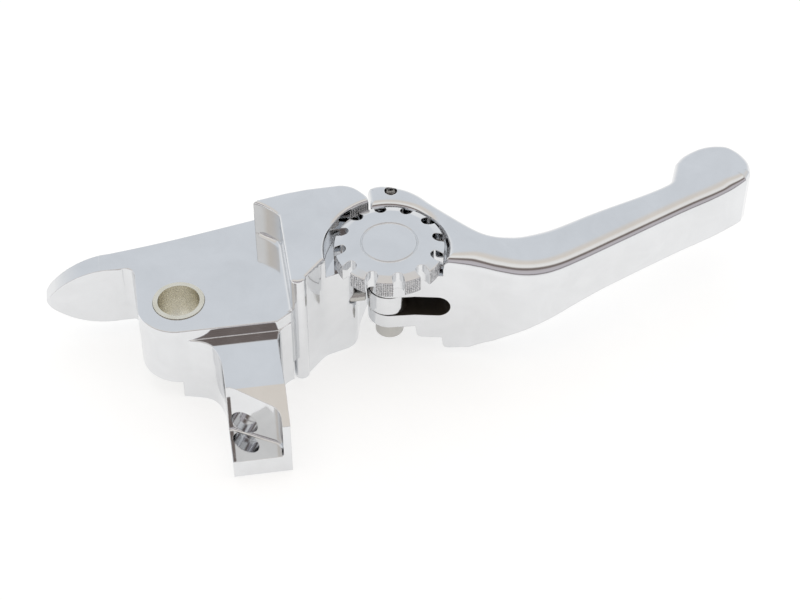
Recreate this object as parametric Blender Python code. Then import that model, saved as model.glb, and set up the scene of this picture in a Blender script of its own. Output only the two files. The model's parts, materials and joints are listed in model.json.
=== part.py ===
"""Adjustable-reach clutch lever for a motorcycle, as an assembly of separate pieces.

Plan dimensions are millimetres from the axis of the main pivot bore: X runs along the lever to
the finger blade, Y away from the handlebar grip, Z up from the surface the lever lies on.
FRAME_SHIFT then puts the part's origin at the centre of its footprint.
"""
import math

import bmesh
import bpy
from mathutils import Vector

MM = 0.001
GAP = 0.3                    # running and assembly clearance between neighbouring pieces
ON_AXIS = 0.001              # a profile point closer than this lies on its axis

# ---- driving dimensions, mm ----
HORN_TIP_X = -30.2
HORN_FACE_Y = 12.4            # the stop face
BLADE_END_X = 136.4
STEM_FRONT_Y = -34.9
BACK_Y = 24.6
FRAME_SHIFT = (-(HORN_TIP_X + BLADE_END_X) / 2, -(STEM_FRONT_Y + BACK_Y) / 2)

BORE_RADIUS = 4.76           # 3/8 inch main pivot pin
BUSH_RADIUS = 5.85
BOSS_LOW = 5.3
BOSS_HIGH = 22.0
BLOCK_HIGH = 32.0
STEM_HIGH = 19.0
STEM_LEFT_X = 8.0
STEM_RIGHT_X = 21.1
LIP_HIGH = 5.2               # floor of the push rod pocket
HORN_MID_Z = (BOSS_LOW + BOSS_HIGH) / 2

BLADE_HIGH = 31.0
SLOT_LOW = 12.6
SLOT_HIGH = 18.5
SLOT_MID = (SLOT_LOW + SLOT_HIGH) / 2
SLOT_END_X = 61.5
EAR_LOW = 8.8
EAR_HIGH = 25.4              # seat under the dial
EAR_RADIUS = 5.0
BLADE_LEFT_X = 46.1

DIAL_AXIS = (48.4, 2.0)
DIAL_RADIUS = 12.6
DIAL_FLAT_RADIUS = 10.6
DIAL_SEAT_RADIUS = 13.1
DIAL_LOW = 26.5
DIAL_HIGH = 31.4
DIAL_RIM_HIGH = 30.6         # top of the knurled rim, below the bevel
DIAL_BORE_HIGH = 29.6
NOTCHES = 12
NOTCH_PHASE = 1.6            # degrees
NOTCH_RADIUS = 1.35
RING_RADIUS = 6.35
RING_HALF_WIDTH = 0.25
RING_DEPTH = 0.35
DIMPLE_CIRCLE = 7.5
CLICKS = 10
DIAL_TRAVEL = CLICKS * 360 / NOTCHES

PIVOT_AXIS = (51.0, 14.2)
PIVOT_PIN_RADIUS = 2.5
REACH_TRAVEL = 6.0           # degrees of blade swing over the dial's travel
TONGUE_LOW = 13.6
TONGUE_HIGH = 17.5
TONGUE_RADIUS = 5.2

CAM_HIGH_RADIUS = 5.3
CAM_DROP = 1.32              # how far the cam lets the blade in over its travel
SHAFT_RADIUS = 2.5
SHAFT_END_RADIUS = 3.3
PAD_RADIUS = 1.4
PLUNGER_AXIS = (18.4, 22.5)  # y, z
BALL_RADIUS = 1.1
PLUNGER_RADIUS = 1.5
PIN_SCREW_RADIUS = 1.2
DIAL_SCREW_RADIUS = 1.0
DIAL_SCREW_Z = 28.9
CAM_PIN_RADIUS = 0.8
CAM_PIN_REACH = 3.4
WASHER_RADIUS = 4.8
PUSH_ROD_SEAT_RADIUS = 3.2


# ---- outlines ----
def arc(centre, radius, start, end, steps):
    """Points on a circle, angles in degrees, both ends included."""
    angles = [math.radians(start + (end - start) * i / steps) for i in range(steps + 1)]
    return [(centre[0] + radius * math.cos(a), centre[1] + radius * math.sin(a)) for a in angles]


def circle_through(a, b, c):
    """Centre and radius of the circle through three points."""
    (ax, ay), (bx, by), (cx, cy) = a, b, c
    d = 2 * (ax * (by - cy) + bx * (cy - ay) + cx * (ay - by))
    a2, b2, c2 = ax * ax + ay * ay, bx * bx + by * by, cx * cx + cy * cy
    x = (a2 * (by - cy) + b2 * (cy - ay) + c2 * (ay - by)) / d
    y = (a2 * (cx - bx) + b2 * (ax - cx) + c2 * (bx - ax)) / d
    return (x, y), math.hypot(ax - x, ay - y)


def arc_through(a, b, c, steps):
    """Arc from a to c that passes b."""
    centre, radius = circle_through(a, b, c)
    turns = [math.degrees(math.atan2(p[1] - centre[1], p[0] - centre[0])) for p in (a, b, c)]
    sweep = (turns[2] - turns[0]) % 360
    if (turns[1] - turns[0]) % 360 > sweep:
        sweep -= 360
    return arc(centre, radius, turns[0], turns[0] + sweep, steps)


def smooth(points, steps):
    """Catmull-Rom curve through the points."""
    ends = [points[0]] + list(points) + [points[-1]]
    curve = []
    for before, start, end, after in zip(ends, ends[1:], ends[2:], ends[3:]):
        for i in range(steps):
            t = i / steps
            curve.append(tuple(
                0.5 * (2 * s + (e - b) * t + (2 * b - 5 * s + 4 * e - a) * t * t
                       + (3 * s - b - 3 * e + a) * t ** 3)
                for b, s, e, a in zip(before, start, end, after)))
    return curve + [points[-1]]


# ---- solids ----
def new_object(name, bm, origin=(0, 0, 0)):
    """Object from a mesh in millimetres, with its origin at the given plan point."""
    bmesh.ops.remove_doubles(bm, verts=bm.verts, dist=0.0001)
    bmesh.ops.recalc_face_normals(bm, faces=bm.faces)
    bmesh.ops.translate(bm, verts=bm.verts, vec=-Vector(origin))
    bmesh.ops.scale(bm, verts=bm.verts, vec=(MM, MM, MM))
    mesh = bpy.data.meshes.new(name)
    bm.to_mesh(mesh)
    bm.free()
    mesh.shade_smooth()
    mesh.set_sharp_from_angle(angle=math.radians(35))
    obj = bpy.data.objects.new(name, mesh)
    obj.location = [(o + s) * MM for o, s in zip(origin, (*FRAME_SHIFT, 0))]
    bpy.context.scene.collection.objects.link(obj)
    return obj


def extruded(name, outline, low, high, across="z"):
    """Outline swept straight between two values of the axis across it."""
    lay = {"z": lambda u, v, w: (u, v, w), "y": lambda u, v, w: (u, w, v), "x": lambda u, v, w: (w, u, v)}
    bm = bmesh.new()
    verts = [bm.verts.new(lay[across](u, v, low)) for u, v in outline]
    swept = bmesh.ops.extrude_face_region(bm, geom=[bm.faces.new(verts)])
    moved = [v for v in swept["geom"] if isinstance(v, bmesh.types.BMVert)]
    bmesh.ops.translate(bm, verts=moved, vec=lay[across](0, 0, high - low))
    return new_object(name, bm)


def turned(name, profile, origin, along=(0, 0, 1), sides=32):
    """Closed profile of (radius, height) points spun about an axis through origin."""
    bm = bmesh.new()
    turn = Vector((0, 0, 1)).rotation_difference(Vector(along)).to_matrix()
    verts = [bm.verts.new(turn @ Vector((r, 0, h))) for r, h in profile]
    pairs = zip(zip(profile, verts), zip(profile[1:] + profile[:1], verts[1:] + verts[:1]))
    edges = [bm.edges.new((a, b)) for (p, a), (q, b) in pairs if max(p[0], q[0]) > ON_AXIS]
    bmesh.ops.spin(bm, geom=verts + edges, cent=(0, 0, 0), axis=turn @ Vector((0, 0, 1)),
                   angle=2 * math.pi, steps=sides, use_merge=True)
    bmesh.ops.translate(bm, verts=bm.verts, vec=origin)
    return new_object(name, bm, origin)


def rod(name, radius, length, origin, along=(0, 0, 1), chamfer=0.0, sides=32):
    """Cylinder that starts at origin, with chamfered ends."""
    profile = [(0, 0), (radius - chamfer, 0), (radius, chamfer), (radius, length - chamfer),
               (radius - chamfer, length), (0, length)]
    return turned(name, profile, origin, along, sides)


def sleeve(name, outer, inner, low, high, centre, sides=40):
    """Plain tube on an upright axis."""
    profile = [(inner, low), (outer, low), (outer, high), (inner, high)]
    return turned(name, profile, (*centre, 0), sides=sides)


def sleeve_hole(name, radius, low, high, centre, sides=40):
    """Round cutter on an upright axis."""
    return extruded(name, arc(centre, radius, 0, 360 - 360 / sides, sides - 1), low, high)


def coil(name, radius, wire, turns, length, origin, along=(0, 0, 1), steps=14, sides=6):
    """Compression spring: a round wire swept along a helix, with capped ends."""
    bm = bmesh.new()
    turn = Vector((0, 0, 1)).rotation_difference(Vector(along)).to_matrix()
    rise = (length - 2 * wire) / turns
    rings = []
    for i in range(int(turns * steps) + 1):
        angle = 2 * math.pi * i / steps
        out = Vector((math.cos(angle), math.sin(angle), 0))
        middle = out * radius + Vector((0, 0, wire + rise * i / steps))
        wall = [2 * math.pi * k / sides for k in range(sides)]
        rings.append([bm.verts.new(turn @ (middle + wire * (out * math.cos(w) + Vector((0, 0, math.sin(w))))))
                      for w in wall])
    for first, second in zip(rings, rings[1:]):
        for k in range(sides):
            bm.faces.new((first[k], first[k - 1], second[k - 1], second[k]))
    bm.faces.new(rings[0])
    bm.faces.new(rings[-1])
    bmesh.ops.translate(bm, verts=bm.verts, vec=origin)
    return new_object(name, bm, origin)


def combine(body, operation, *tools):
    """Boolean each tool into the body; the tools stay as hidden guides."""
    for tool in tools:
        modifier = body.modifiers.new(tool.name, "BOOLEAN")
        modifier.operation = operation
        modifier.solver = "EXACT"
        modifier.object = tool
        tool.hide_render = True
        tool.display_type = "WIRE"
    return body


def socket(name, across, depth, mouth, along):
    """Hexagon socket cutter whose mouth is at the given point."""
    start = Vector(mouth) - Vector(along).normalized() * depth
    return rod(name, across / math.sqrt(3), depth + 1, start, along, sides=6)


# ---- finishes ----
def finish(name, color, roughness, metallic=1.0):
    """Principled material."""
    material = bpy.data.materials.new(name)
    material.use_nodes = True
    shader = material.node_tree.nodes["Principled BSDF"]
    shader.inputs["Base Color"].default_value = (*color, 1)
    shader.inputs["Roughness"].default_value = roughness
    shader.inputs["Metallic"].default_value = metallic
    return material


# ---- base: pivot boss, stop horn, push arm and raised block ----
def deck_outline():
    corner = arc_through((-9.4, -2.0), (-6.6, -7.2), (-1.2, -9.7), 8)
    back = smooth([(19.1, 24.1), (1.9, 20.6), (-8.8, 18.8), (-17.3, 17.6)], 3)
    return [*corner, (21.4, -9.7), (24.9, -7.2), (28.0, 0.0), (41.5, 12.0), (41.5, 21.6),
            *arc_through((40.5, 22.6), (26.1, BACK_Y), (19.6, 24.2), 6), *back, (-17.3, HORN_FACE_Y),
            *arc_through((-12.6, 12.2), (-10.2, 11.9), (-9.4, 9.6), 4)]


def block_outline():
    nose = arc_through((24.85, -6.6), (26.0, -7.9), (28.4, -6.3), 5)
    front = smooth([(31.6, -2.9), (33.2, -1.6), (35.6, -0.8), (38.4, 0.0)], 3)
    column = arc_through((39.8, 0.9), (40.7, 2.2), (41.3, 4.0), 3)
    end = arc_through((45.4, 14.9), (45.7, 16.6), (44.8, 18.9), 4)
    back = arc_through((44.0, 20.0), (42.2, 21.6), (39.6, 22.4), 4)
    left = arc_through((19.4, 19.6), (22.3, 17.4), (24.85, 14.2), 5)
    return [*nose, *front, *column, (42.2, 7.6), *end, *back, (32.0, 22.2), (27.0, 21.6), (20.9, 20.4), *left]


def stem_outline():
    fillet = smooth([(-1.0, -9.2), (4.3, -10.8), (6.6, -13.0), (7.7, -16.4), (STEM_LEFT_X, -20.0)], 4)
    return [*fillet, (STEM_LEFT_X, STEM_FRONT_Y), (STEM_RIGHT_X, STEM_FRONT_Y), (STEM_RIGHT_X, -12.6),
            *arc_through((21.5, -10.6), (22.7, -9.0), (24.6, -7.8), 4), (24.0, -4.0), (2.0, -4.0)]


def horn():
    plate = extruded("horn_plan", [(-12.0, 17.9), (-17.3, 17.6), (-29.2, 16.4), (HORN_TIP_X, 15.6),
                                   (HORN_TIP_X, 13.1), (-29.3, HORN_FACE_Y), (-9.0, HORN_FACE_Y),
                                   (-8.0, 17.9)], 2, 26)
    half = BOSS_HIGH - HORN_MID_Z
    nose = arc_through((-29.5, HORN_MID_Z + 1.5), (HORN_TIP_X, HORN_MID_Z), (-29.5, HORN_MID_Z - 1.5), 6)
    top = arc_through((-16.0, HORN_MID_Z + half), (-23.5, HORN_MID_Z + 6.4), nose[0], 8)
    bottom = arc_through(nose[-1], (-23.5, HORN_MID_Z - 6.4), (-16.0, HORN_MID_Z - half), 8)
    lens = extruded("horn_side", [(0, BOSS_HIGH), *top, *nose[1:-1], *bottom, (0, BOSS_LOW)], 5, 25, "y")
    return combine(plate, "INTERSECT", lens)


def tongue():
    tip = arc(PIVOT_AXIS, TONGUE_RADIUS, -90, 90, 12)
    outline = [(37.0, PIVOT_AXIS[1] - TONGUE_RADIUS), *tip, (37.0, PIVOT_AXIS[1] + TONGUE_RADIUS)]
    return extruded("tongue", outline, TONGUE_LOW, TONGUE_HIGH)


def push_rod_pocket():
    corner = arc_through((18.6, -31.0), (19.2, -32.2), (19.3, -33.4), 3)
    outline = [(5.0, -25.2), (9.0, -25.2), (17.6, -30.2), *corner, (19.3, -37.0), (5.0, -37.0)]
    return extruded("push_rod_pocket", outline, LIP_HIGH, STEM_HIGH + 4)


def stem_slope():
    reach = STEM_FRONT_Y - 3
    drop = STEM_HIGH - 4.0 / 9.1 * (-25.8 - reach)
    outline = [(-25.8, STEM_HIGH), (-25.8, STEM_HIGH + 5), (reach, STEM_HIGH + 5), (reach, drop)]
    return extruded("stem_slope", outline, 4, 24, "x")


def dial_recess():
    centre, radius = circle_through((45.8, 16.0), (38.2, 11.7), (33.4, -1.6))
    return sleeve_hole("dial_recess", radius, EAR_HIGH + 0.4, 40, centre, 64)


def lever_base():
    base = extruded("lever_base", block_outline(), 0, BLOCK_HIGH)
    deck = extruded("deck", deck_outline(), BOSS_LOW, BOSS_HIGH)
    stem = extruded("stem", stem_outline(), 0, STEM_HIGH)
    combine(base, "UNION", deck, stem, horn(), tongue())
    along = Vector((0.5, 0.866, 0.0))
    seat_start = Vector((11.4, -26.9, 8.6)) + along * 3.6
    combine(base, "DIFFERENCE", dial_recess(), push_rod_pocket(), stem_slope(),
            sleeve_hole("bush_hole", BUSH_RADIUS + GAP, 0, 30, (0, 0), 48),
            sleeve_hole("tongue_hole", 3.9, 12, 19, PIVOT_AXIS),
            rod("push_rod_seat", PUSH_ROD_SEAT_RADIUS, 9, seat_start, -along),
            rod("pad_hole", PAD_RADIUS + GAP, 12, (34.5, DIAL_AXIS[1], SLOT_MID), (1, 0, 0)),
            rod("plunger_hole", PLUNGER_RADIUS + GAP, 16, (35.5, *PLUNGER_AXIS), (1, 0, 0), sides=24))
    return base


# ---- finger blade ----
def blade_outline():
    ear = arc(DIAL_AXIS, EAR_RADIUS, 165, 270, 8)
    grip_side = smooth([(53.5, -3.4), (61.7, -5.1), (67.0, -6.5), (71.8, -8.9), (76.3, -10.7), (80.5, -11.2),
                        (84.8, -10.5), (90.4, -8.4), (101.3, -3.6), (117.5, 3.6), (125.8, 7.0),
                        (131.6, 9.8), (134.6, 11.5)], 3)
    end = smooth([(136.0, 13.6), (BLADE_END_X, 16.6), (135.4, 20.0), (133.2, 22.9), (130.4, 23.9),
                  (127.4, 23.9), (124.6, 23.1), (121.4, 21.4), (119.2, 19.2)], 3)
    back = smooth([(117.3, 14.6), (115.6, 12.5), (108.3, 9.6), (95.2, 5.4), (86.5, 2.4), (80.9, 1.1),
                   (76.6, 0.7), (73.0, 1.4), (69.8, 3.2), (66.4, 6.7), (60.5, 13.8), (57.8, 17.4),
                   (55.1, 19.8), (51.9, 21.4), (49.6, 22.1), (47.6, 22.0), (46.5, 21.4)], 3)
    return [*ear, *grip_side, *end, *back, (BLADE_LEFT_X, 20.4), (BLADE_LEFT_X, 12.2)]


def blade_profile():
    belly = smooth([(66.0, 2.6), (71.0, 6.4), (76.5, 10.6), (84.0, 14.2), (95.0, 16.3), (112.0, 16.7)], 4)
    return [(40, EAR_LOW), (53.6, EAR_LOW), *arc_through((53.9, 6.6), (54.3, 5.7), (55.2, BOSS_LOW), 3),
            (59.7, BOSS_LOW), *arc_through((59.9, 3.2), (60.3, 2.3), (61.4, 2.0), 3), *belly, (140, 16.7),
            (140, BLADE_HIGH), (40, BLADE_HIGH)]


def fork_slot():
    radius = SLOT_HIGH - SLOT_MID
    outline = [(38, SLOT_LOW), *arc((SLOT_END_X - radius, SLOT_MID), radius, -90, 90, 10), (38, SLOT_HIGH)]
    return extruded("fork_slot", outline, -20, 30, "y")


def lock_screw_line():
    """Where the pivot pin's slanted lock screw meets the pin, and the way out of its hole."""
    foot = Vector((PIVOT_AXIS[0] + 0.4, PIVOT_AXIS[1] + PIVOT_PIN_RADIUS + 0.6, 24.2))
    mouth = Vector((PIVOT_AXIS[0] + 0.4, 19.4, 30.8))
    return foot, (mouth - foot).normalized()


def lever_blade():
    blade = extruded("lever_blade", blade_outline(), 0, BLADE_HIGH)
    combine(blade, "INTERSECT", extruded("blade_side", blade_profile(), -30, 40, "y"))
    foot, out = lock_screw_line()
    detent = (DIAL_AXIS[0] + DIMPLE_CIRCLE, DIAL_AXIS[1])
    combine(blade, "DIFFERENCE", fork_slot(),
            sleeve_hole("dial_seat", DIAL_SEAT_RADIUS, EAR_HIGH, 40, DIAL_AXIS, 64),
            sleeve_hole("shaft_hole", SHAFT_END_RADIUS + GAP, 5, 15, DIAL_AXIS),
            sleeve_hole("shaft_bush_hole", 4.0, 16, 30, DIAL_AXIS),
            sleeve_hole("pivot_pin_hole", PIVOT_PIN_RADIUS + GAP, 5, 25.0, PIVOT_AXIS),
            sleeve_hole("detent_hole", BALL_RADIUS + GAP, 19.6, 30, detent, 24),
            rod("lock_screw_hole", PIN_SCREW_RADIUS + GAP, 16, foot - out * 0.6, out, sides=24))
    return blade


# ---- adjuster ----
def around_dial(radius, k, height):
    """Point on a circle about the dial's axis, k clicks round."""
    angle = 2 * math.pi * k / NOTCHES
    return (DIAL_AXIS[0] + radius * math.cos(angle), DIAL_AXIS[1] + radius * math.sin(angle), height)


def grip_notch(k):
    """Cutter for a round-bottomed notch in the dial's rim."""
    turn = k + NOTCH_PHASE / (360 / NOTCHES)
    middle = 360 / NOTCHES * turn
    bottom = around_dial(DIAL_RADIUS - NOTCH_RADIUS, turn, 0)
    mouth = around_dial(DIAL_RADIUS + 2, turn, 0)
    outline = arc(bottom, NOTCH_RADIUS, middle + 90, middle + 270, 8)
    outline += [arc(mouth, NOTCH_RADIUS, middle + side, middle + side, 1)[0] for side in (270, 90)]
    return extruded(f"grip_notch_{k}", outline, DIAL_LOW - 1, DIAL_HIGH + 1)


def dimple(k):
    """Cutter for a click dimple under the dial."""
    spot = around_dial(DIMPLE_CIRCLE, k, DIAL_LOW - 0.5)
    return turned(f"dimple_{k}", [(0, 0), (1.45, 0), (1.45, 0.5), (0.9, 1.0), (0, 1.15)], spot, sides=12)


def dial_screw_line():
    """Where the dial's lock screw starts, at the bore, and the way out through a tooth on the far side."""
    angle = math.radians(135)
    out = Vector((math.cos(angle), math.sin(angle), 0))
    return Vector((*DIAL_AXIS, DIAL_SCREW_Z)) + out * (SHAFT_RADIUS + GAP), out


def adjuster_dial():
    """Turned disc with a bevelled rim, an engraved ring and a blind bore for the shaft."""
    bore = SHAFT_RADIUS + GAP
    groove = DIAL_HIGH - RING_DEPTH
    profile = [(bore, DIAL_LOW), (DIAL_RADIUS, DIAL_LOW), (DIAL_RADIUS, DIAL_RIM_HIGH),
               (DIAL_FLAT_RADIUS, DIAL_HIGH), (RING_RADIUS + RING_HALF_WIDTH, DIAL_HIGH),
               (RING_RADIUS + RING_HALF_WIDTH, groove), (RING_RADIUS - RING_HALF_WIDTH, groove),
               (RING_RADIUS - RING_HALF_WIDTH, DIAL_HIGH), (0, DIAL_HIGH), (0, DIAL_BORE_HIGH),
               (bore, DIAL_BORE_HIGH)]
    dial = turned("adjuster_dial", profile, (*DIAL_AXIS, 0), sides=72)
    combine(dial, "DIFFERENCE", *[cut(k) for cut in (grip_notch, dimple) for k in range(NOTCHES)])
    foot, out = dial_screw_line()
    hole = rod("dial_screw_hole", DIAL_SCREW_RADIUS + GAP, 14, foot - out, out, sides=20)
    return combine(dial, "DIFFERENCE", hole)


def cam_outline():
    """Spiral that eases the blade in by the same amount at every click."""
    travel = DIAL_TRAVEL + REACH_TRAVEL
    steps = 40
    spiral = [(180 + travel * i / steps, CAM_HIGH_RADIUS - CAM_DROP * i / steps) for i in range(steps + 1)]
    spiral.insert(0, (172, CAM_HIGH_RADIUS))
    return [(DIAL_AXIS[0] + r * math.cos(math.radians(a)), DIAL_AXIS[1] + r * math.sin(math.radians(a)))
            for a, r in spiral]


def adjuster_cam():
    cam = extruded("adjuster_cam", cam_outline(), SLOT_LOW + GAP, SLOT_HIGH - GAP)
    return combine(cam, "DIFFERENCE", sleeve_hole("cam_bore", SHAFT_RADIUS + GAP, 10, 22, DIAL_AXIS),
                   cam_pin_hole("cam_pin_hole"))


def cam_pin_hole(name):
    """Cross hole that the cam and its shaft share, blind on the grip side."""
    start = (DIAL_AXIS[0], DIAL_AXIS[1] - CAM_PIN_REACH - GAP, SLOT_MID)
    return rod(name, CAM_PIN_RADIUS + GAP, 14, start, (0, 1, 0), sides=20)


def cam_shaft():
    shoulder = SLOT_LOW
    shaft = turned("cam_shaft", [(0, 3.2), (SHAFT_END_RADIUS - 0.5, 3.2), (SHAFT_END_RADIUS, 3.7),
                                 (SHAFT_END_RADIUS, shoulder), (SHAFT_RADIUS, shoulder), (SHAFT_RADIUS, 29.0),
                                 (SHAFT_RADIUS - 0.3, 29.3), (0, 29.3)], (*DIAL_AXIS, 0))
    return combine(shaft, "DIFFERENCE", cam_pin_hole("shaft_pin_hole"))


def lock_screw(name, radius, length, foot, way):
    """Headless screw with a cone point and a hexagon socket."""
    profile = [(0, 0), (radius * 0.4, 0), (radius, radius * 0.5), (radius, length - 0.25),
               (radius - 0.25, length), (0, length)]
    screw = turned(name, profile, foot, way, sides=24)
    mouth = Vector(foot) + Vector(way).normalized() * length
    return combine(screw, "DIFFERENCE", socket(name + "_socket", radius, length * 0.4, mouth, way))


# ---- the assembly ----
def joint_axis(name, centre, parent=None):
    """Empty on a joint's axis, which carries the pieces that turn or slide together."""
    empty = bpy.data.objects.new(name, None)
    empty.empty_display_size = 0.01
    bpy.context.scene.collection.objects.link(empty)
    place = Vector([(c + s) * MM for c, s in zip(centre, (*FRAME_SHIFT, 0))])
    if parent:
        empty.parent = parent[0]
    empty.location = place - (parent[1] if parent else Vector())
    return empty, place


def mount_on(axis, material, *pieces):
    """Give the pieces their finish and hang them on a joint's axis."""
    for piece in pieces:
        piece.data.materials.append(material)
        if axis:
            piece.parent = axis[0]
            piece.location = piece.location - axis[1]


def build():
    for old in list(bpy.data.objects):
        bpy.data.objects.remove(old)
    chrome = finish("polished_chrome", (0.86, 0.87, 0.89), 0.05)
    steel = finish("satin_steel", (0.55, 0.54, 0.52), 0.35)
    bronze = finish("sintered_bronze", (0.62, 0.54, 0.36), 0.42)
    spring_steel = finish("spring_steel", (0.45, 0.45, 0.46), 0.3)
    blade_axis = joint_axis("blade_axis", (*PIVOT_AXIS, 0))
    dial_axis = joint_axis("dial_axis", (*DIAL_AXIS, 0), blade_axis)

    mount_on(None, chrome, lever_base())
    mount_on(None, bronze,
             sleeve("pivot_bushing", BUSH_RADIUS, BORE_RADIUS, BOSS_LOW, BOSS_HIGH + 0.2, (0, 0), 56),
             sleeve("tongue_bushing", 3.6, PIVOT_PIN_RADIUS + GAP, TONGUE_LOW, TONGUE_HIGH, PIVOT_AXIS))
    mount_on(None, steel, rod("cam_pad", PAD_RADIUS, 7.9, (34.9, DIAL_AXIS[1], SLOT_MID), (1, 0, 0), 0.3))
    plunger_start = (BLADE_LEFT_X - GAP - 4.6, *PLUNGER_AXIS)
    mount_on(None, steel, rod("preload_plunger", PLUNGER_RADIUS, 4.6, plunger_start, (1, 0, 0), 0.4, 24))
    mount_on(None, spring_steel, coil("preload_spring", 1.1, 0.22, 6, 5.0, (35.9, *PLUNGER_AXIS), (1, 0, 0)))

    mount_on(blade_axis, chrome, lever_blade())
    foot, out = lock_screw_line()
    mount_on(blade_axis, steel,
             rod("blade_pivot_pin", PIVOT_PIN_RADIUS, 15.4, (*PIVOT_AXIS, 9.3), chamfer=0.4),
             lock_screw("pin_lock_screw", PIN_SCREW_RADIUS, 6.0, foot, out),
             sleeve("thrust_washer_lower", WASHER_RADIUS, PIVOT_PIN_RADIUS + GAP, 12.9, 13.3, PIVOT_AXIS),
             sleeve("thrust_washer_upper", WASHER_RADIUS, PIVOT_PIN_RADIUS + GAP, 17.8, 18.2, PIVOT_AXIS),
             sleeve("dial_washer", 5.4, SHAFT_RADIUS + GAP, EAR_HIGH + GAP, DIAL_LOW - GAP, DIAL_AXIS))
    mount_on(blade_axis, bronze,
             sleeve("shaft_bushing", 3.7, SHAFT_RADIUS + GAP, SLOT_HIGH, EAR_HIGH, DIAL_AXIS))
    detent = (DIAL_AXIS[0] + DIMPLE_CIRCLE, DIAL_AXIS[1])
    mount_on(blade_axis, spring_steel, coil("detent_spring", 0.85, 0.2, 5, 4.0, (*detent, 19.9)))
    ball_centre = (*detent, DIAL_LOW - 0.1 - BALL_RADIUS)
    ball = turned("detent_ball", arc((0, 0), BALL_RADIUS, -90, 90, 10), ball_centre, sides=18)
    mount_on(blade_axis, steel, ball)

    screw_foot, screw_out = dial_screw_line()
    mount_on(dial_axis, chrome, adjuster_dial(), adjuster_cam())
    pin_start = (DIAL_AXIS[0], DIAL_AXIS[1] - CAM_PIN_REACH, SLOT_MID)
    mount_on(dial_axis, steel, cam_shaft(),
             rod("cam_pin", CAM_PIN_RADIUS, 7.2, pin_start, (0, 1, 0), 0.1, 20),
             lock_screw("dial_lock_screw", DIAL_SCREW_RADIUS, 5.0, screw_foot + screw_out * GAP, screw_out))


build()
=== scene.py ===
"""Adjustable-reach clutch lever: the looks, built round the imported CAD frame.

Shapes are drawn in millimetres from the axis of the main pivot bore, as in the part's drawing, and
laid into the frame by the pivot bush's own place.
"""
import json
import math

import bmesh
import bpy
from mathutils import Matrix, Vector


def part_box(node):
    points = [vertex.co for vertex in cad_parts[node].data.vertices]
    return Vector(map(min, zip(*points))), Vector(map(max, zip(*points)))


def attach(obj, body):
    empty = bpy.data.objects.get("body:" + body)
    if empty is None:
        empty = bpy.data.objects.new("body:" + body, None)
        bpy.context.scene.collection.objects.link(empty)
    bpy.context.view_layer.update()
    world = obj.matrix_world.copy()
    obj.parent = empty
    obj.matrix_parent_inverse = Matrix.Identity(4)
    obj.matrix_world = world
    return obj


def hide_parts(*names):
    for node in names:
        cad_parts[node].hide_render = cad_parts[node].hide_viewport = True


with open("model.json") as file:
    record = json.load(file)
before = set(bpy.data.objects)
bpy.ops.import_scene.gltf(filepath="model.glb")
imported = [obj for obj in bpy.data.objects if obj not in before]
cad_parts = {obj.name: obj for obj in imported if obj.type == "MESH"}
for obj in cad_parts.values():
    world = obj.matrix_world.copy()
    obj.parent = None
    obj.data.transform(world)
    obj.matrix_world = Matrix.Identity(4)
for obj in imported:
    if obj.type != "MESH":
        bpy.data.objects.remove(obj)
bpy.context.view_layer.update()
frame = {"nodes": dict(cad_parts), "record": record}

MM = 0.001
BUSH_LOW, BUSH_TOP = (Vector(corner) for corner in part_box("pivot_bushing"))
ORIGIN = Vector(((BUSH_LOW.x + BUSH_TOP.x) / 2, (BUSH_LOW.y + BUSH_TOP.y) / 2, 0))

# ---- sizes, mm ----
BOSS_LOW, BOSS_HIGH = 5.3, 22.0
BUSH_HOLE_RADIUS = 5.9
BLOCK_HIGH = 32.0
STEM_HIGH = 19.0
STEM_LEFT_X, STEM_RIGHT_X, STEM_FRONT_Y = 8.0, 21.1, -34.9
SLOPE_START_Y, SLOPE_FALL = -25.8, 4.0 / 9.1
LIP_HIGH = 5.2
ROD_SEAT_RADIUS, ROD_SEAT_LENGTH, ROD_SEAT_DEPTH = 3.2, 9.0, 3.6
ROD_SEAT_MOUTH, ROD_LINE = Vector((11.4, -26.9, 8.6)), Vector((0.5, 0.866, 0.0))
HORN_TIP_X = -30.2
HORN_MID_Z = (BOSS_LOW + BOSS_HIGH) / 2
BACK_Y = 24.6
BLADE_HIGH = 31.0
BLADE_END_X = 136.4
BLADE_LEFT_X = 46.1
BELLY_LOW = 16.7
BACK_ROUND, FINGER_ROUND = 1.5, 4.0
SLOT_LOW, SLOT_HIGH, SLOT_END_X = 12.6, 18.5, 61.5
SLOT_MID, SLOT_HALF = (SLOT_LOW + SLOT_HIGH) / 2, (SLOT_HIGH - SLOT_LOW) / 2
TONGUE_LOW, TONGUE_HIGH, TONGUE_RADIUS, TONGUE_HOLE_RADIUS = 13.6, 17.5, 5.2, 3.9
PAD_HOLE_RADIUS, PAD_HOLE_X = 1.7, 34.5
PLUNGER_HOLE_RADIUS, PLUNGER_HOLE_START = 1.8, (35.5, 18.4, 22.5)
EAR_LOW, EAR_HIGH, EAR_RADIUS = 8.8, 25.4, 5.0
RECESS_LOW = EAR_HIGH + 0.4
SHAFT_HOLE_RADIUS, SHAFT_BUSH_HOLE_RADIUS = 3.6, 4.0
DIAL_AXIS = (48.4, 2.0)
DIAL_RADIUS, DIAL_FLAT_RADIUS, DIAL_SEAT_RADIUS = 12.6, 10.6, 13.1
DIAL_LOW, DIAL_RIM_HIGH, DIAL_HIGH = 26.5, 30.6, 31.4
NOTCHES, NOTCH_RADIUS, NOTCH_PHASE = 12, 1.35, 1.6
DIAL_BORE_RADIUS, DIAL_BORE_HIGH = 2.8, 29.6
RING_RADIUS, RING_HALF_WIDTH, RING_DEPTH = 6.35, 0.25, 0.3
DIMPLE_CIRCLE = 7.5
CLICK_HOLE_RADIUS, CLICK_HOLE_LOW = 1.4, 19.6
PIVOT_AXIS = (51.0, 14.2)
PIN_HOLE_RADIUS, PIN_HOLE_HIGH = 2.8, 25.0
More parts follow.
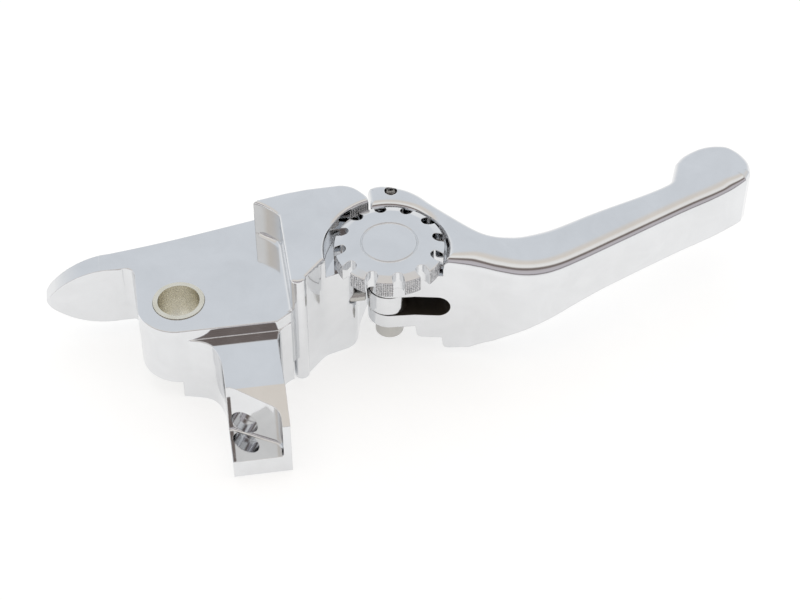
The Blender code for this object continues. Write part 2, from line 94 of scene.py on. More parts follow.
LOCK_SCREW_HOLE_RADIUS = 1.5
LOCK_SCREW_FOOT, LOCK_SCREW_MOUTH = Vector((51.4, 17.3, 24.2)), Vector((51.4, 19.4, 30.8))


# ---- outlines ----
def arc(centre, radius, start, end, steps):
    """Points on a circle, angles in degrees, both ends included."""
    angles = [math.radians(start + (end - start) * i / steps) for i in range(steps + 1)]
    return [(centre[0] + radius * math.cos(a), centre[1] + radius * math.sin(a)) for a in angles]


def ring(centre, radius, sides):
    return arc(centre, radius, 0, 360 - 360 / sides, sides - 1)


def circle_through(a, b, c):
    """Centre and radius of the circle through three points."""
    (ax, ay), (bx, by), (cx, cy) = a, b, c
    d = 2 * (ax * (by - cy) + bx * (cy - ay) + cx * (ay - by))
    a2, b2, c2 = ax * ax + ay * ay, bx * bx + by * by, cx * cx + cy * cy
    x = (a2 * (by - cy) + b2 * (cy - ay) + c2 * (ay - by)) / d
    y = (a2 * (cx - bx) + b2 * (ax - cx) + c2 * (bx - ax)) / d
    return (x, y), math.hypot(ax - x, ay - y)


def arc_through(a, b, c, steps):
    """Arc from a to c that passes b."""
    centre, radius = circle_through(a, b, c)
    turns = [math.degrees(math.atan2(p[1] - centre[1], p[0] - centre[0])) for p in (a, b, c)]
    sweep = (turns[2] - turns[0]) % 360
    if (turns[1] - turns[0]) % 360 > sweep:
        sweep -= 360
    return arc(centre, radius, turns[0], turns[0] + sweep, steps)


def smooth(points, steps):
    """Catmull-Rom curve through the points."""
    ends = [points[0]] + list(points) + [points[-1]]
    curve = []
    for before, start, end, after in zip(ends, ends[1:], ends[2:], ends[3:]):
        for i in range(steps):
            t = i / steps
            curve.append(tuple(
                0.5 * (2 * s + (e - b) * t + (2 * b - 5 * s + 4 * e - a) * t * t
                       + (3 * s - b - 3 * e + a) * t ** 3)
                for b, s, e, a in zip(before, start, end, after)))
    return curve + [points[-1]]


def inset(outline, distances):
    """The outline moved inwards by each point's distance, with mitred corners, the sharpest held back."""
    area = sum(a[0] * b[1] - b[0] * a[1] for a, b in zip(outline, outline[1:] + outline[:1]))
    side = 1 if area > 0 else -1
    before, after = outline[-1:] + outline[:-1], outline[1:] + outline[:1]
    moved = []
    for a, b, c, distance in zip(before, outline, after, distances):
        legs = [Vector((q[0] - p[0], q[1] - p[1])).normalized() for p, q in ((a, b), (b, c))]
        normals = [Vector((-leg.y, leg.x)) * side for leg in legs]
        mitre = max(1 + normals[0].dot(normals[1]), 0.35)
        moved.append(tuple(Vector(b) + (normals[0] + normals[1]) * (distance / mitre)))
    return moved


# ---- solids ----
def new_object(name, bm):
    """Object from a mesh in millimetres, laid into the frame."""
    bmesh.ops.remove_doubles(bm, verts=bm.verts, dist=0.0001)
    bmesh.ops.recalc_face_normals(bm, faces=bm.faces)
    bmesh.ops.scale(bm, verts=bm.verts, vec=(MM, MM, MM))
    bmesh.ops.translate(bm, verts=bm.verts, vec=ORIGIN)
    mesh = bpy.data.meshes.new(name)
    bm.to_mesh(mesh)
    bm.free()
    obj = bpy.data.objects.new(name, mesh)
    bpy.context.scene.collection.objects.link(obj)
    return obj


# plane points (u, v) and height w laid across each axis
LAY = {"z": lambda u, v, w: (u, v, w), "y": lambda u, v, w: (u, w, v), "x": lambda u, v, w: (w, u, v)}


def stacked(name, loops, across="z"):
    """Closed skin over a stack of matching loops, each with its points' heights along the axis across."""
    places = [[LAY[across](u, v, level) for (u, v), level in zip(*loop)] for loop in loops]
    return skinned(name, places)


def skinned(name, loops):
    """Closed skin over matching loops of points, capped at both ends."""
    bm = bmesh.new()
    rows = [[bm.verts.new(place) for place in loop] for loop in loops]
    for low, high in zip(rows, rows[1:]):
        for k in range(len(low)):
            bm.faces.new((low[k - 1], low[k], high[k], high[k - 1]))
    bm.faces.new(rows[0])
    bm.faces.new(rows[-1])
    return new_object(name, bm)


def slab(name, outline, low, high, round_low=0.0, round_high=0.0, steps=6, across="z"):
    """Straight prism with rounded lower and upper edges; a round may be a list, one for each point."""
    loops = []
    for end, way, edge in ((low, 1, round_low), (high, -1, round_high)):
        radii = edge if isinstance(edge, list) else [edge] * len(outline)
        turns = [math.pi / 2 * i / steps for i in range(steps + 1)] if any(radii) else [math.pi / 2]
        stack = [(inset(outline, [r * (1 - math.sin(t)) for r in radii]),
                  [end + way * r * (1 - math.cos(t)) for r in radii]) for t in turns]
        loops += stack if way == 1 else stack[::-1]
    return stacked(name, loops, across)


def turned(name, profile, origin, along=(0, 0, 1), sides=48):
    """Closed profile of (radius, height) points spun about an axis through origin."""
    bm = bmesh.new()
    turn = Vector((0, 0, 1)).rotation_difference(Vector(along)).to_matrix()
    verts = [bm.verts.new(turn @ Vector((r, 0, h))) for r, h in profile]
    pairs = zip(zip(profile, verts), zip(profile[1:] + profile[:1], verts[1:] + verts[:1]))
    edges = [bm.edges.new((a, b)) for (p, a), (q, b) in pairs if max(p[0], q[0]) > 0.001]
    bmesh.ops.spin(bm, geom=verts + edges, cent=(0, 0, 0), axis=turn @ Vector((0, 0, 1)),
                   angle=2 * math.pi, steps=sides, use_merge=True)
    bmesh.ops.translate(bm, verts=bm.verts, vec=origin)
    return new_object(name, bm)


def hole(name, radius, low, high, centre, sides=64):
    return slab(name, ring(centre, radius, sides), low, high)


def flared_hole(name, radius, low, top, flare, centre):
    """Cutter for a round seat whose upper edge, at the height of top, is rounded."""
    turns = [math.pi / 2 * i / 8 for i in range(9)]
    lip = [(radius + flare * (1 - math.cos(t)), top - flare * (1 - math.sin(t))) for t in turns]
    profile = [(0, low), (radius, low), *lip, (radius + flare, top + 6), (0, top + 6)]
    return turned(name, profile, (*centre, 0), sides=144)


def rod(name, radius, length, origin, along, sides=48):
    return turned(name, [(0, 0), (radius, 0), (radius, length), (0, length)], origin, along, sides)


def combine(body, operation, *tools):
    """Boolean each tool into the body, then drop the tools."""
    for tool in tools:
        modifier = body.modifiers.new(tool.name, "BOOLEAN")
        modifier.operation = operation
        modifier.solver = "EXACT"
        modifier.object = tool
    apply_modifiers(body)
    for tool in tools:
        bpy.data.objects.remove(tool)
    return body


def apply_modifiers(obj):
    graph = bpy.context.evaluated_depsgraph_get()
    graph.update()
    mesh = bpy.data.meshes.new_from_object(obj.evaluated_get(graph), depsgraph=graph)
    obj.modifiers.clear()
    obj.data = mesh


def dress(obj, material, sharp=20.0):
    """Smooth shading that keeps true edges and flat faces."""
    obj.data.shade_smooth()
    obj.data.set_sharp_from_angle(angle=math.radians(sharp))
    weighted = obj.modifiers.new("flat_faces", "WEIGHTED_NORMAL")
    weighted.keep_sharp = True
    weighted.weight = 100
    apply_modifiers(obj)
    obj.data.materials.clear()
    obj.data.materials.append(material)
    return obj


# ---- materials ----
class Nodes:
    """Short way to write the node tree of a new material, or of a new world."""

    def __init__(self, name, world=False):
        self.owner = (bpy.data.worlds if world else bpy.data.materials).new(name)
        self.owner.use_nodes = True
        self.tree = self.owner.node_tree
        self.shader = self.tree.nodes["Background" if world else "Principled BSDF"]

    def add(self, kind, inputs=None, **settings):
        node = self.tree.nodes.new(kind)
        for key, value in settings.items():
            setattr(node, key, value)
        for key, value in (inputs or {}).items():
            if isinstance(value, bpy.types.NodeSocket):
                self.tree.links.new(value, node.inputs[key])
            else:
                node.inputs[key].default_value = value
        return node

    def set(self, **values):
        for key, value in values.items():
            name = key.replace("_", " ")
            if isinstance(value, bpy.types.NodeSocket):
                self.tree.links.new(value, self.shader.inputs[name])
            else:
                self.shader.inputs[name].default_value = value

    def noise(self, scale, detail=3.0, rough=0.5, stretch=None, distortion=0.0):
        """Noise in object space, in features per metre; stretch lengthens it along an axis."""
        place = self.add("ShaderNodeTexCoord").outputs["Object"]
        if stretch:
            place = self.add("ShaderNodeMapping", {"Vector": place, "Scale": stretch}).outputs["Vector"]
        return self.add("ShaderNodeTexNoise", {"Vector": place, "Scale": scale, "Detail": detail,
                                               "Roughness": rough, "Distortion": distortion}).outputs["Fac"]

    def math(self, operation, first, second=0.0):
        return self.add("ShaderNodeMath", {0: first, 1: second}, operation=operation).outputs[0]

    def spread(self, value, low, high, new_low, new_high):
        return self.add("ShaderNodeMapRange", {"Value": value, "From Min": low, "From Max": high,
                                               "To Min": new_low, "To Max": new_high}).outputs["Result"]

    def ramp(self, value, *bands):
        """Colour by value, from bands of (value, colour) that run from 0 to 1."""
        node = self.add("ShaderNodeValToRGB", {"Fac": value})
        elements = node.color_ramp.elements
        for place, color in bands[1:-1]:
            elements.new(place).color = (*color, 1)
        elements[0].color = (*bands[0][1], 1)
        elements[-1].color = (*bands[-1][1], 1)
        return node.outputs["Color"]

    def tint(self, value, dark, light):
        return self.ramp(value, (0.0, dark), (1.0, light))

    def bump(self, height, strength, depth, normal=None):
        inputs = {"Height": height, "Strength": strength, "Distance": depth}
        if normal:
            inputs["Normal"] = normal
        return self.add("ShaderNodeBump", inputs).outputs["Normal"]


def chrome(name, edge=0.00028, color=(0.79, 0.80, 0.815)):
    """Chrome plate over polished billet: soft waves, faint tool marks, hazy patches, rubbed edges that are
    rougher and carry painted highlights.
    """
    nodes = Nodes(name)
    rounded = nodes.add("ShaderNodeBevel", {"Radius": edge}, samples=6).outputs["Normal"]
    waves = nodes.bump(nodes.noise(170, 2.0), 0.3, 0.00006, rounded)
    marks = nodes.bump(nodes.noise(900, 2.0, stretch=(0.08, 0.9, 1.0)), 0.06, 0.00002, waves)
    haze = nodes.noise(120, 4.0, 0.6, distortion=0.6)
    specks = nodes.spread(nodes.noise(2600, 2.0, 0.6), 0.66, 0.78, 0.0, 0.16)
    # rubbed edges, rougher and lightened as painted highlights: where the rounded normal leaves the true
    # one
    wide = nodes.add("ShaderNodeBevel", {"Radius": edge * 1.8}, samples=4).outputs["Normal"]
    true = nodes.add("ShaderNodeNewGeometry").outputs["Normal"]
    lean = nodes.add("ShaderNodeVectorMath", {0: wide, 1: true}, operation="DOT_PRODUCT").outputs["Value"]
    edge_wear_and_highlight_mask = nodes.spread(lean, 0.98, 0.75, 0.0, 1.0)
    broken_edge_wear_and_highlight = nodes.math("MULTIPLY", edge_wear_and_highlight_mask, nodes.spread(nodes.noise(800, 4.0, 0.7), 0.42, 0.62, 0.0, 1.0))
    rough = nodes.math("ADD", nodes.spread(haze, 0.35, 0.7, 0.045, 0.11), specks)
    rough = nodes.math("ADD", rough, nodes.math("MULTIPLY", broken_edge_wear_and_highlight, 0.14))
    patches = nodes.math("MULTIPLY", haze, 0.6)
    cloud = nodes.math("ADD", patches, nodes.math("MULTIPLY", nodes.noise(38, 3.0), 0.4))
    clean = nodes.tint(nodes.spread(cloud, 0.35, 0.65, 0.0, 1.0), [c * 0.93 for c in color], color)
    # painted highlight: the edges' colour lightened towards a pale warm grey
    painted_edge_highlight = nodes.add("ShaderNodeMix", {"Factor": nodes.math("MULTIPLY", broken_edge_wear_and_highlight, 0.5), "A": clean,
                                       "B": (0.9, 0.89, 0.87, 1)}, data_type="RGBA")
    nodes.set(Base_Color=painted_edge_highlight.outputs[2], Metallic=1.0, Roughness=rough, Normal=marks)
    return nodes.owner


def knurled_chrome(pitch=0.001):
    """Chrome over a diamond knurl wrapped round the dial's rim, with softened, uneven points and painted
    shade in the valleys between them.
    """
    nodes = Nodes("knurled_chrome")
    place = nodes.add("ShaderNodeTexCoord").outputs["Object"]
    split = nodes.add("ShaderNodeSeparateXYZ", {"Vector": place})
    along_x = nodes.math("SUBTRACT", split.outputs["X"], ORIGIN.x + DIAL_AXIS[0] * MM)
    along_y = nodes.math("SUBTRACT", split.outputs["Y"], ORIGIN.y + DIAL_AXIS[1] * MM)
    around = nodes.math("MULTIPLY", nodes.math("ARCTAN2", along_y, along_x), DIAL_RADIUS * MM)
    waves = [nodes.math("SINE", nodes.math("MULTIPLY", nodes.math(way, around, split.outputs["Z"]),
                                           2 * math.pi / pitch)) for way in ("ADD", "SUBTRACT")]
    points = nodes.math("MULTIPLY", *waves)
    uneven = nodes.noise(1500, 3.0, 0.7)
    height = nodes.math("ADD", points, nodes.spread(uneven, 0.3, 0.7, -0.8, 0.8))
    rounded = nodes.add("ShaderNodeBevel", {"Radius": 0.0002}, samples=4).outputs["Normal"]
    bumped = nodes.bump(height, 1.0, 0.0003, rounded)
    rough = nodes.spread(uneven, 0.3, 0.7, 0.08, 0.24)
    # painted shade: the knurl's valleys darkened towards near black, its points kept light
    base = nodes.tint(nodes.spread(height, -1.2, 0.3, 0.0, 1.0), (0.22, 0.22, 0.24), (0.86, 0.865, 0.88))
    nodes.set(Base_Color=base, Metallic=1.0, Roughness=rough, Normal=bumped)
    return nodes.owner


def slot_shade():
    """Oily brown-black inside of the fork slot, darkened to near black as painted shade."""
    nodes = Nodes("slot_shade")
    film = nodes.noise(500, 3.0, 0.6, stretch=(1.0, 0.2, 1.0))
    # painted shade: the slot's inside coloured near black, with an oily film
    nodes.set(Base_Color=nodes.tint(film, (0.02, 0.015, 0.01), (0.05, 0.04, 0.028)),
              Roughness=nodes.spread(film, 0.3, 0.7, 0.35, 0.6), Normal=nodes.bump(film, 0.3, 0.00005))
    return nodes.owner


def satin_steel(name="satin_steel", dark=(0.44, 0.43, 0.41), light=(0.60, 0.59, 0.56), rough=(0.26, 0.42)):
    """Turned steel: fine rings and a mottled film of oil."""
    nodes = Nodes(name)
    rings = nodes.noise(1400, 3.0, stretch=(0.35, 0.35, 2.2))
    film = nodes.noise(260, 4.0, 0.6)
    normal = nodes.bump(rings, 0.25, 0.00003)
    nodes.set(Base_Color=nodes.tint(film, dark, light), Metallic=1.0,
              Roughness=nodes.spread(film, 0.3, 0.7, *rough), Normal=normal)
    return nodes.owner


def sintered_bronze():
    """Oil-filled bronze: dull, pitted and uneven in colour."""
    nodes = Nodes("sintered_bronze")
    pores = nodes.noise(3000, 2.0, 0.7)
    cloud = nodes.noise(300, 3.0)
    normal = nodes.bump(pores, 0.35, 0.00004)
    nodes.set(Base_Color=nodes.tint(cloud, (0.70, 0.66, 0.54), (0.86, 0.84, 0.77)), Metallic=0.9,
              Roughness=nodes.spread(pores, 0.3, 0.7, 0.2, 0.38), Normal=normal)
    return nodes.owner


# ---- base ----
def deck_outline():
    corner = arc_through((-9.4, -2.0), (-6.6, -7.2), (-1.2, -9.7), 16)
    back = smooth([(19.1, 24.1), (1.9, 20.6), (-8.8, 18.8), (-17.3, 17.6)], 4)
    return [*corner, (21.4, -9.7), (24.9, -7.2), (28.0, 0.0), (41.5, 12.0), (41.5, 21.6),
            *arc_through((40.5, 22.6), (26.1, BACK_Y), (19.6, 24.2), 12), *back, (-17.3, 12.4),
            *arc_through((-12.6, 12.2), (-10.2, 11.9), (-9.4, 9.6), 8)]


def block_outline():
    nose = arc_through((24.85, -6.6), (26.0, -7.9), (28.4, -6.3), 8)
    front = smooth([(31.6, -2.9), (33.2, -1.6), (35.6, -0.8), (38.4, 0.0)], 5)
    column = arc_through((39.8, 0.9), (40.7, 2.2), (41.3, 4.0), 5)
    end = arc_through((45.4, 14.9), (45.7, 16.6), (44.8, 18.9), 8)
    back = arc_through((44.0, 20.0), (42.2, 21.6), (39.6, 22.4), 6)
    left = arc_through((19.4, 19.6), (22.3, 17.4), (24.85, 14.2), 10)
    return [*nose, *front, *column, (42.2, 7.6), *end, *back, (32.0, 22.2), (27.0, 21.6), (20.9, 20.4),
            *left]


def stem_outline():
    fillet = smooth([(-1.0, -9.2), (4.3, -10.8), (6.6, -13.0), (7.7, -16.4), (STEM_LEFT_X, -20.0)], 6)
    return [*fillet, (STEM_LEFT_X, STEM_FRONT_Y), (STEM_RIGHT_X, STEM_FRONT_Y), (STEM_RIGHT_X, -12.6),
            *arc_through((21.5, -10.6), (22.7, -9.0), (24.6, -7.8), 6), (24.0, -4.0), (2.0, -4.0)]


def horn():
    plate = slab("horn_plan", [(-12.0, 17.9), (-17.3, 17.6), (-29.2, 16.4), (HORN_TIP_X, 15.6),
                               (HORN_TIP_X, 13.1), (-29.3, 12.4), (-9.0, 12.4), (-8.0, 17.9)], 2, 26)
    half = BOSS_HIGH - HORN_MID_Z
    nose = arc_through((-29.5, HORN_MID_Z + 1.5), (HORN_TIP_X, HORN_MID_Z), (-29.5, HORN_MID_Z - 1.5), 10)
    top = arc_through((-16.0, HORN_MID_Z + half), (-23.5, HORN_MID_Z + 6.4), nose[0], 24)
    bottom = arc_through(nose[-1], (-23.5, HORN_MID_Z - 6.4), (-16.0, HORN_MID_Z - half), 24)
    lens = slab("horn_side", [(0, BOSS_HIGH), *top, *nose[1:-1], *bottom, (0, BOSS_LOW)], 5, 25, across="y")
    return combine(plate, "INTERSECT", lens)


def foot_fillet(radius=1.3, steps=5, sunk=0.02):
    """Concave round where the raised block's left wall meets the deck, its edges sunk into both."""
    bend = arc_through((21.2, 18.4), (22.5, 17.3), (24.9, 14.2), 6)
    path = [(20.6, 19.0), *bend[:-1], (24.9, 13.6), (24.9, -7.0)]
    loops = []
    for k, here in enumerate(path):
        before, after = path[max(k - 1, 0)], path[min(k + 1, len(path) - 1)]
        leg = Vector((after[0] - before[0], after[1] - before[1])).normalized()
        out = Vector((leg.y, -leg.x))
        turns = [math.pi / 2 * i / steps for i in range(steps + 1)]
        curve = [(radius * (1 - math.sin(t)) - sunk, radius * (1 - math.cos(t)) - sunk) for t in turns]
        section = [*curve, (-0.6, radius - sunk), (-0.6, -0.6), (radius - sunk, -0.6)]
        loops.append([(here[0] + out.x * d, here[1] + out.y * d, BOSS_HIGH + h) for d, h in section])
    return skinned("foot_fillet", loops)


def push_rod_pocket():
    corner = arc_through((17.9, -30.4), (19.0, -31.6), (19.3, -33.4), 8)
    outline = [(5.0, -25.2), (9.0, -25.2), *corner, (19.3, -37.0), (5.0, -37.0)]
    return slab("push_rod_pocket", outline, LIP_HIGH, STEM_HIGH + 4, round_low=0.6)


def stem_slope():
    """Wedge off the stem's upper front."""
    reach = STEM_FRONT_Y - 3
    drop = STEM_HIGH - SLOPE_FALL * (SLOPE_START_Y - reach)
    outline = [(SLOPE_START_Y, STEM_HIGH), (SLOPE_START_Y, STEM_HIGH + 5), (reach, STEM_HIGH + 5),
               (reach, drop)]
    return slab("stem_slope", outline, 4, 24, across="x")


def build_base():
    base = slab("base_skin", block_outline(), 0, BLOCK_HIGH, 0.4, 0.8)
    deck = slab("deck", deck_outline(), BOSS_LOW, BOSS_HIGH, 0.35, 0.3)
    stem = slab("stem", stem_outline(), 0, STEM_HIGH, 0.4, 0.25)
    tip, root_x = arc(PIVOT_AXIS, TONGUE_RADIUS, -90, 90, 24), 37.0
    tongue = slab("tongue", [(root_x, tip[0][1]), *tip, (root_x, tip[-1][1])], TONGUE_LOW, TONGUE_HIGH)
    combine(base, "UNION", deck, stem, horn(), tongue, foot_fillet())
    centre, radius = circle_through((45.8, 16.0), (38.2, 11.7), (33.4, -1.6))
    seat_foot = ROD_SEAT_MOUTH + ROD_LINE * ROD_SEAT_DEPTH
    combine(base, "DIFFERENCE",
            flared_hole("dial_recess", radius, RECESS_LOW, BLOCK_HIGH, 1.0, centre),
            push_rod_pocket(), stem_slope(), hole("bush_hole", BUSH_HOLE_RADIUS, 0, 30, (0, 0), 96),
            hole("tongue_hole", TONGUE_HOLE_RADIUS, 12, 19, PIVOT_AXIS),
            rod("push_rod_seat", ROD_SEAT_RADIUS, ROD_SEAT_LENGTH, seat_foot, -ROD_LINE),
            rod("pad_hole", PAD_HOLE_RADIUS, 12, (PAD_HOLE_X, DIAL_AXIS[1], SLOT_MID), (1, 0, 0)),
            rod("plunger_hole", PLUNGER_HOLE_RADIUS, 16, PLUNGER_HOLE_START, (1, 0, 0)))
    return base


# ---- blade ----
def blade_outline():
    ear = arc(DIAL_AXIS, EAR_RADIUS, 165, 270, 16)
    grip_side = smooth([(53.5, -3.4), (61.7, -5.1), (67.0, -6.5), (71.8, -8.9), (76.3, -10.7),
                        (80.5, -11.2), (84.8, -10.5), (90.4, -8.4), (101.3, -3.6), (117.5, 3.6),
                        (125.8, 7.0), (131.6, 9.8), (134.6, 11.5)], 8)
    end = smooth([(136.0, 13.6), (BLADE_END_X, 16.6), (135.4, 20.0), (133.2, 22.9), (130.4, 23.9),
                  (127.4, 23.9), (124.6, 23.1), (121.4, 21.4), (119.2, 19.2)], 8)
    back = smooth([(117.3, 14.6), (115.6, 12.5), (108.3, 9.6), (95.2, 5.4), (86.5, 2.4), (80.9, 1.1),
                   (76.6, 0.7), (73.0, 1.4), (69.8, 3.2), (66.4, 6.7), (60.5, 13.8), (57.8, 17.4),
                   (55.1, 19.8), (51.9, 21.4), (49.6, 22.1), (47.6, 22.0), (46.5, 21.4)], 8)
    return [*ear, *grip_side, *end, *back, (BLADE_LEFT_X, 20.4), (BLADE_LEFT_X, 12.2)]


def blade_profile():
    """Side view: stepped under the fork, then sweeping up to the thin grip."""
    first_step = arc_through((53.9, 6.6), (54.3, 5.7), (55.2, BOSS_LOW), 8)
    second_step = arc_through((59.9, 3.2), (60.3, 2.3), (61.4, 2.0), 8)
    belly = smooth([(66.0, 2.6), (71.0, 6.4), (76.5, 10.6), (84.0, 14.2), (95.0, 16.3),
                    (112.0, BELLY_LOW)], 10)
    return [(40, EAR_LOW), (53.6, EAR_LOW), *first_step, (59.7, BOSS_LOW), *second_step, *belly,
            (140, BELLY_LOW), (140, BLADE_HIGH + 3), (40, BLADE_HIGH + 3)]


def blade_middle(x):
    """Where the blade's finger side ends and its back begins, as y at x."""
    if x > 104:
        return 11.0 + (x - 120) * 0.36
    return 3.0 + (x - 84) * 0.25 if x > 60 else 4.5


def blade_rounds(outline):
    """Top edge: broad under the fingers, tighter along the back and round the tip."""
    ease, tip_x, tip_ease = 5.0, 138, 8
    rounds = []
    for x, y in outline:
        near = min(max((blade_middle(x) - y) / ease, 0.0), 1.0)
        short = min(max((tip_x - x) / tip_ease, 0.0), 1.0)
        rounds.append(BACK_ROUND + (FINGER_ROUND - BACK_ROUND) * near * short)
    return rounds


def build_blade():
    outline = blade_outline()
    blade = slab("blade_skin", outline, 0, BLADE_HIGH, 0, blade_rounds(outline), 12)
    combine(blade, "INTERSECT", slab("blade_side", blade_profile(), -30, 40, across="y"))
    end = arc((SLOT_END_X - SLOT_HALF, SLOT_MID), SLOT_HALF, -90, 90, 24)
    click_place = (DIAL_AXIS[0] + DIMPLE_CIRCLE, DIAL_AXIS[1])
    screw_line = (LOCK_SCREW_MOUTH - LOCK_SCREW_FOOT).normalized()
    combine(blade, "DIFFERENCE",
            slab("fork_slot", [(38, SLOT_LOW), *end, (38, SLOT_HIGH)], -20, 30, across="y"),
            flared_hole("dial_seat", DIAL_SEAT_RADIUS, EAR_HIGH, BLADE_HIGH, 2.2, DIAL_AXIS),
            hole("shaft_hole", SHAFT_HOLE_RADIUS, 5, 15, DIAL_AXIS),
            hole("shaft_bush_hole", SHAFT_BUSH_HOLE_RADIUS, 16, 30, DIAL_AXIS),
            hole("pivot_pin_hole", PIN_HOLE_RADIUS, 5, PIN_HOLE_HIGH, PIVOT_AXIS),
            hole("detent_hole", CLICK_HOLE_RADIUS, CLICK_HOLE_LOW, 30, click_place, 32),
            rod("lock_screw_hole", LOCK_SCREW_HOLE_RADIUS, 16, LOCK_SCREW_FOOT - screw_line * 0.6,
                screw_line, 40))
    return blade


# ---- dial ----
def around_dial(radius, k, height):
    """Point on a circle about the dial's axis, k clicks round."""
    angle = 2 * math.pi * k / NOTCHES
    return (DIAL_AXIS[0] + radius * math.cos(angle), DIAL_AXIS[1] + radius * math.sin(angle), height)


def grip_notch(k):
    """Cutter for a round-bottomed notch in the dial's rim."""
    turn = k + NOTCH_PHASE / (360 / NOTCHES)
    middle = 360 / NOTCHES * turn
    bottom = around_dial(DIAL_RADIUS - NOTCH_RADIUS, turn, 0)
    mouth = around_dial(DIAL_RADIUS + 2, turn, 0)
    outline = arc(bottom, NOTCH_RADIUS, middle + 90, middle + 270, 16)
    outline += [arc(mouth, NOTCH_RADIUS, middle + side, middle + side, 1)[0] for side in (270, 90)]
    return slab(f"grip_notch_{k}", outline, DIAL_LOW - 1, DIAL_HIGH + 1)


def click_dimple(k):
    """Cutter for a hollow under the dial that the click ball drops into."""
    profile = [(0, 0), (1.45, 0), (1.45, 0.5), (0.9, 1.0), (0, 1.15)]
    spot = around_dial(DIMPLE_CIRCLE, k, DIAL_LOW - 0.5)
    return turned(f"click_dimple_{k}", profile, spot, sides=12)


def build_dial():
    """Turned disc with a bevelled rim, an engraved ring, a blind bore and click hollows beneath."""
    groove = arc_through((RING_RADIUS + RING_HALF_WIDTH, DIAL_HIGH), (RING_RADIUS, DIAL_HIGH - RING_DEPTH),
                         (RING_RADIUS - RING_HALF_WIDTH, DIAL_HIGH), 6)
    shoulder = arc_through((DIAL_RADIUS, DIAL_RIM_HIGH - 0.25), (DIAL_RADIUS - 0.08, DIAL_RIM_HIGH + 0.02),
                           (DIAL_RADIUS - 0.35, DIAL_RIM_HIGH + 0.187), 3)
    profile = [(DIAL_BORE_RADIUS, DIAL_LOW), (DIAL_RADIUS - 0.2, DIAL_LOW), (DIAL_RADIUS, DIAL_LOW + 0.2),
               *shoulder, (DIAL_FLAT_RADIUS + 0.1, DIAL_HIGH - 0.08),
               (DIAL_FLAT_RADIUS - 0.25, DIAL_HIGH), *groove, (0, DIAL_HIGH), (0, DIAL_BORE_HIGH),
               (DIAL_BORE_RADIUS, DIAL_BORE_HIGH)]
    dial = turned("dial_skin", profile, (*DIAL_AXIS, 0), sides=144)
    cutters = [cut(k) for cut in (grip_notch, click_dimple) for k in range(NOTCHES)]
    return combine(dial, "DIFFERENCE", *cutters)


def repaint(obj, material, wanted):
    """Second finish on the faces that the test picks out, by centre in millimetres and normal."""
    obj.data.materials.append(material)
    for face in obj.data.polygons:
        if wanted((face.center - ORIGIN) / MM, face.normal):
            face.material_index = 1


def is_knurled(centre, normal):
    """Outer faces of the dial's teeth, and the bevel above them."""
    reach = math.hypot(centre.x - DIAL_AXIS[0], centre.y - DIAL_AXIS[1])
    outward = (centre.x - DIAL_AXIS[0]) * normal.x + (centre.y - DIAL_AXIS[1]) * normal.y
    return reach > DIAL_RADIUS - 0.5 and outward > 0.9 * reach and centre.z > DIAL_LOW


def is_in_slot(centre, normal):
    """Flat sides and round end of the fork slot, which the plating barely reaches and which get painted
    shade.
    """
    flat = abs(normal.z) > 0.9 and min(abs(centre.z - SLOT_LOW), abs(centre.z - SLOT_HIGH)) < 0.1
    out = math.hypot(centre.x - (SLOT_END_X - SLOT_HALF), centre.z - SLOT_MID)
    return flat or (abs(out - SLOT_HALF) < 0.1 and abs(normal.y) < 0.1)


# ---- the scene ----
def paper():
    """Pale floor that glows a little, so that it stays white round the object."""
    bm = bmesh.new()
    bmesh.ops.create_grid(bm, x_segments=1, y_segments=1, size=4000)
    floor = new_object("floor", bm)
    floor.location.z = -0.0001
    nodes = Nodes("floor_paper")
    grain = nodes.noise(60, 2.0)
    nodes.set(Base_Color=nodes.tint(grain, (0.43, 0.43, 0.43), (0.46, 0.46, 0.455)), Roughness=0.9,
              Specular_IOR_Level=0.0, Emission_Color=(1.0, 1.0, 0.995, 1), Emission_Strength=0.66)
    floor.data.materials.append(nodes.owner)


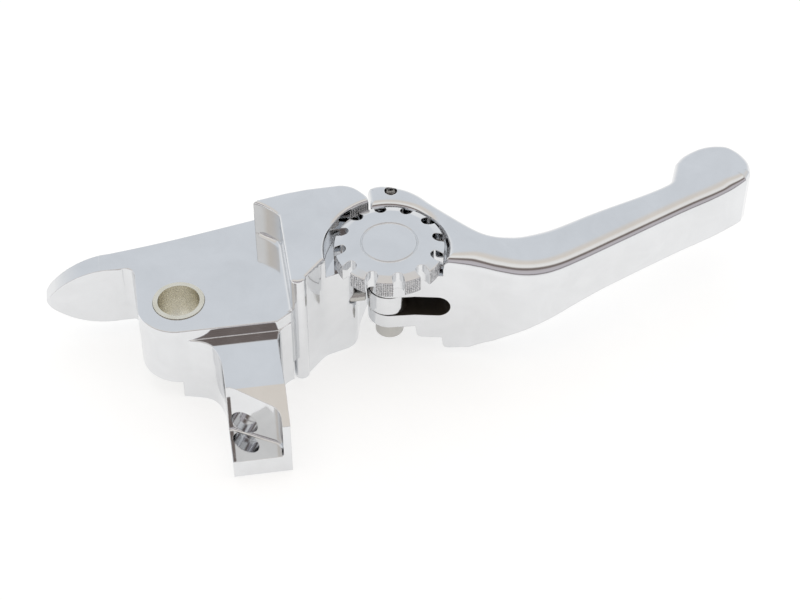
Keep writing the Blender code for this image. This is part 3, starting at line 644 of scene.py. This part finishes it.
def room():
    """Bright room with darker bands, from the near horizon (0) over the top (0.5) to the far one (1)."""
    bands = [(0.0, (0.98, 0.98, 0.98)), (0.03, (0.95, 0.95, 0.95)), (0.05, (0.26, 0.23, 0.23)),
             (0.075, (0.30, 0.27, 0.28)), (0.10, (0.60, 0.57, 0.60)), (0.20, (0.56, 0.52, 0.53)),
             (0.235, (0.20, 0.165, 0.155)), (0.285, (0.24, 0.20, 0.18)), (0.33, (0.97, 0.95, 0.92)),
             (0.40, (0.93, 0.91, 0.88)), (0.47, (0.80, 0.74, 0.67)), (0.55, (0.78, 0.74, 0.70)),
             (0.64, (0.745, 0.775, 0.81)), (0.80, (0.75, 0.78, 0.82)), (0.93, (0.9, 0.91, 0.92)),
             (1.0, (1, 1, 1))]
    nodes = Nodes("room", world=True)
    place = nodes.add("ShaderNodeTexCoord").outputs["Generated"]
    split = nodes.add("ShaderNodeSeparateXYZ", {"Vector": place})
    toward = nodes.math("MULTIPLY", split.outputs["Y"], -1)
    angle = nodes.math("ARCTAN2", split.outputs["Z"], toward)
    nodes.set(Color=nodes.ramp(nodes.math("MULTIPLY", angle, 1 / math.pi), *bands))
    bpy.context.scene.world = nodes.owner


def overhead_light():
    """Soft light from above that doesn't show in the chrome."""
    light = bpy.data.lights.new("overhead", "AREA")
    light.size = 1.2
    light.energy = 2
    lamp = bpy.data.objects.new("overhead", light)
    place, aim = Vector((0.15, 0.2, 0.9)), Vector((0.05, 0, 0))
    lamp.location = ORIGIN + place
    lamp.rotation_euler = (aim - place).to_track_quat("-Z", "Y").to_euler()
    lamp.visible_glossy = False
    bpy.context.scene.collection.objects.link(lamp)


def camera():
    """Looks down on the lever from the grip side, from half a metre away."""
    tilt, turn = math.radians(45.5), math.radians(8.8)
    lens = bpy.data.cameras.new("camera")
    lens.lens = 90
    lens.sensor_width = 36
    eye = bpy.data.objects.new("camera", lens)
    eye.location = ORIGIN + Vector((1.01, -320.07, 344.07)) * MM
    eye.rotation_euler = (math.pi / 2 - tilt, 0, -turn)
    bpy.context.scene.collection.objects.link(eye)
    bpy.context.scene.camera = eye


def build():
    plate = chrome("polished_chrome")
    knurl = knurled_chrome()
    finishes = {"polished_chrome": plate, "knurled_chrome": knurl, "satin_steel": satin_steel(),
                "spring_steel": satin_steel("spring_steel", (0.22, 0.22, 0.23), (0.36, 0.36, 0.37),
                                            (0.3, 0.5)),
                "sintered_bronze": sintered_bronze()}
    base, blade, dial = build_base(), build_blade(), build_dial()
    for skin, node, body, slot in ((base, "lever_base", "base", "polished_chrome"),
                                   (blade, "lever_blade", "blade", "polished_chrome"),
                                   (dial, "adjuster_dial", "dial", "knurled_chrome")):
        dress(skin, plate)
        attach(skin, body)
        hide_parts(node)
    repaint(dial, knurl, is_knurled)
    repaint(blade, slot_shade(), is_in_slot)
    for row in frame["record"]["subparts"]:
        node = frame["nodes"][row["node"]]
        node.data.materials.clear()
        node.data.materials.append(finishes[row["material_slot"]])


build()
paper()
room()
overhead_light()
camera()
bpy.context.scene.view_settings.view_transform = "Standard"
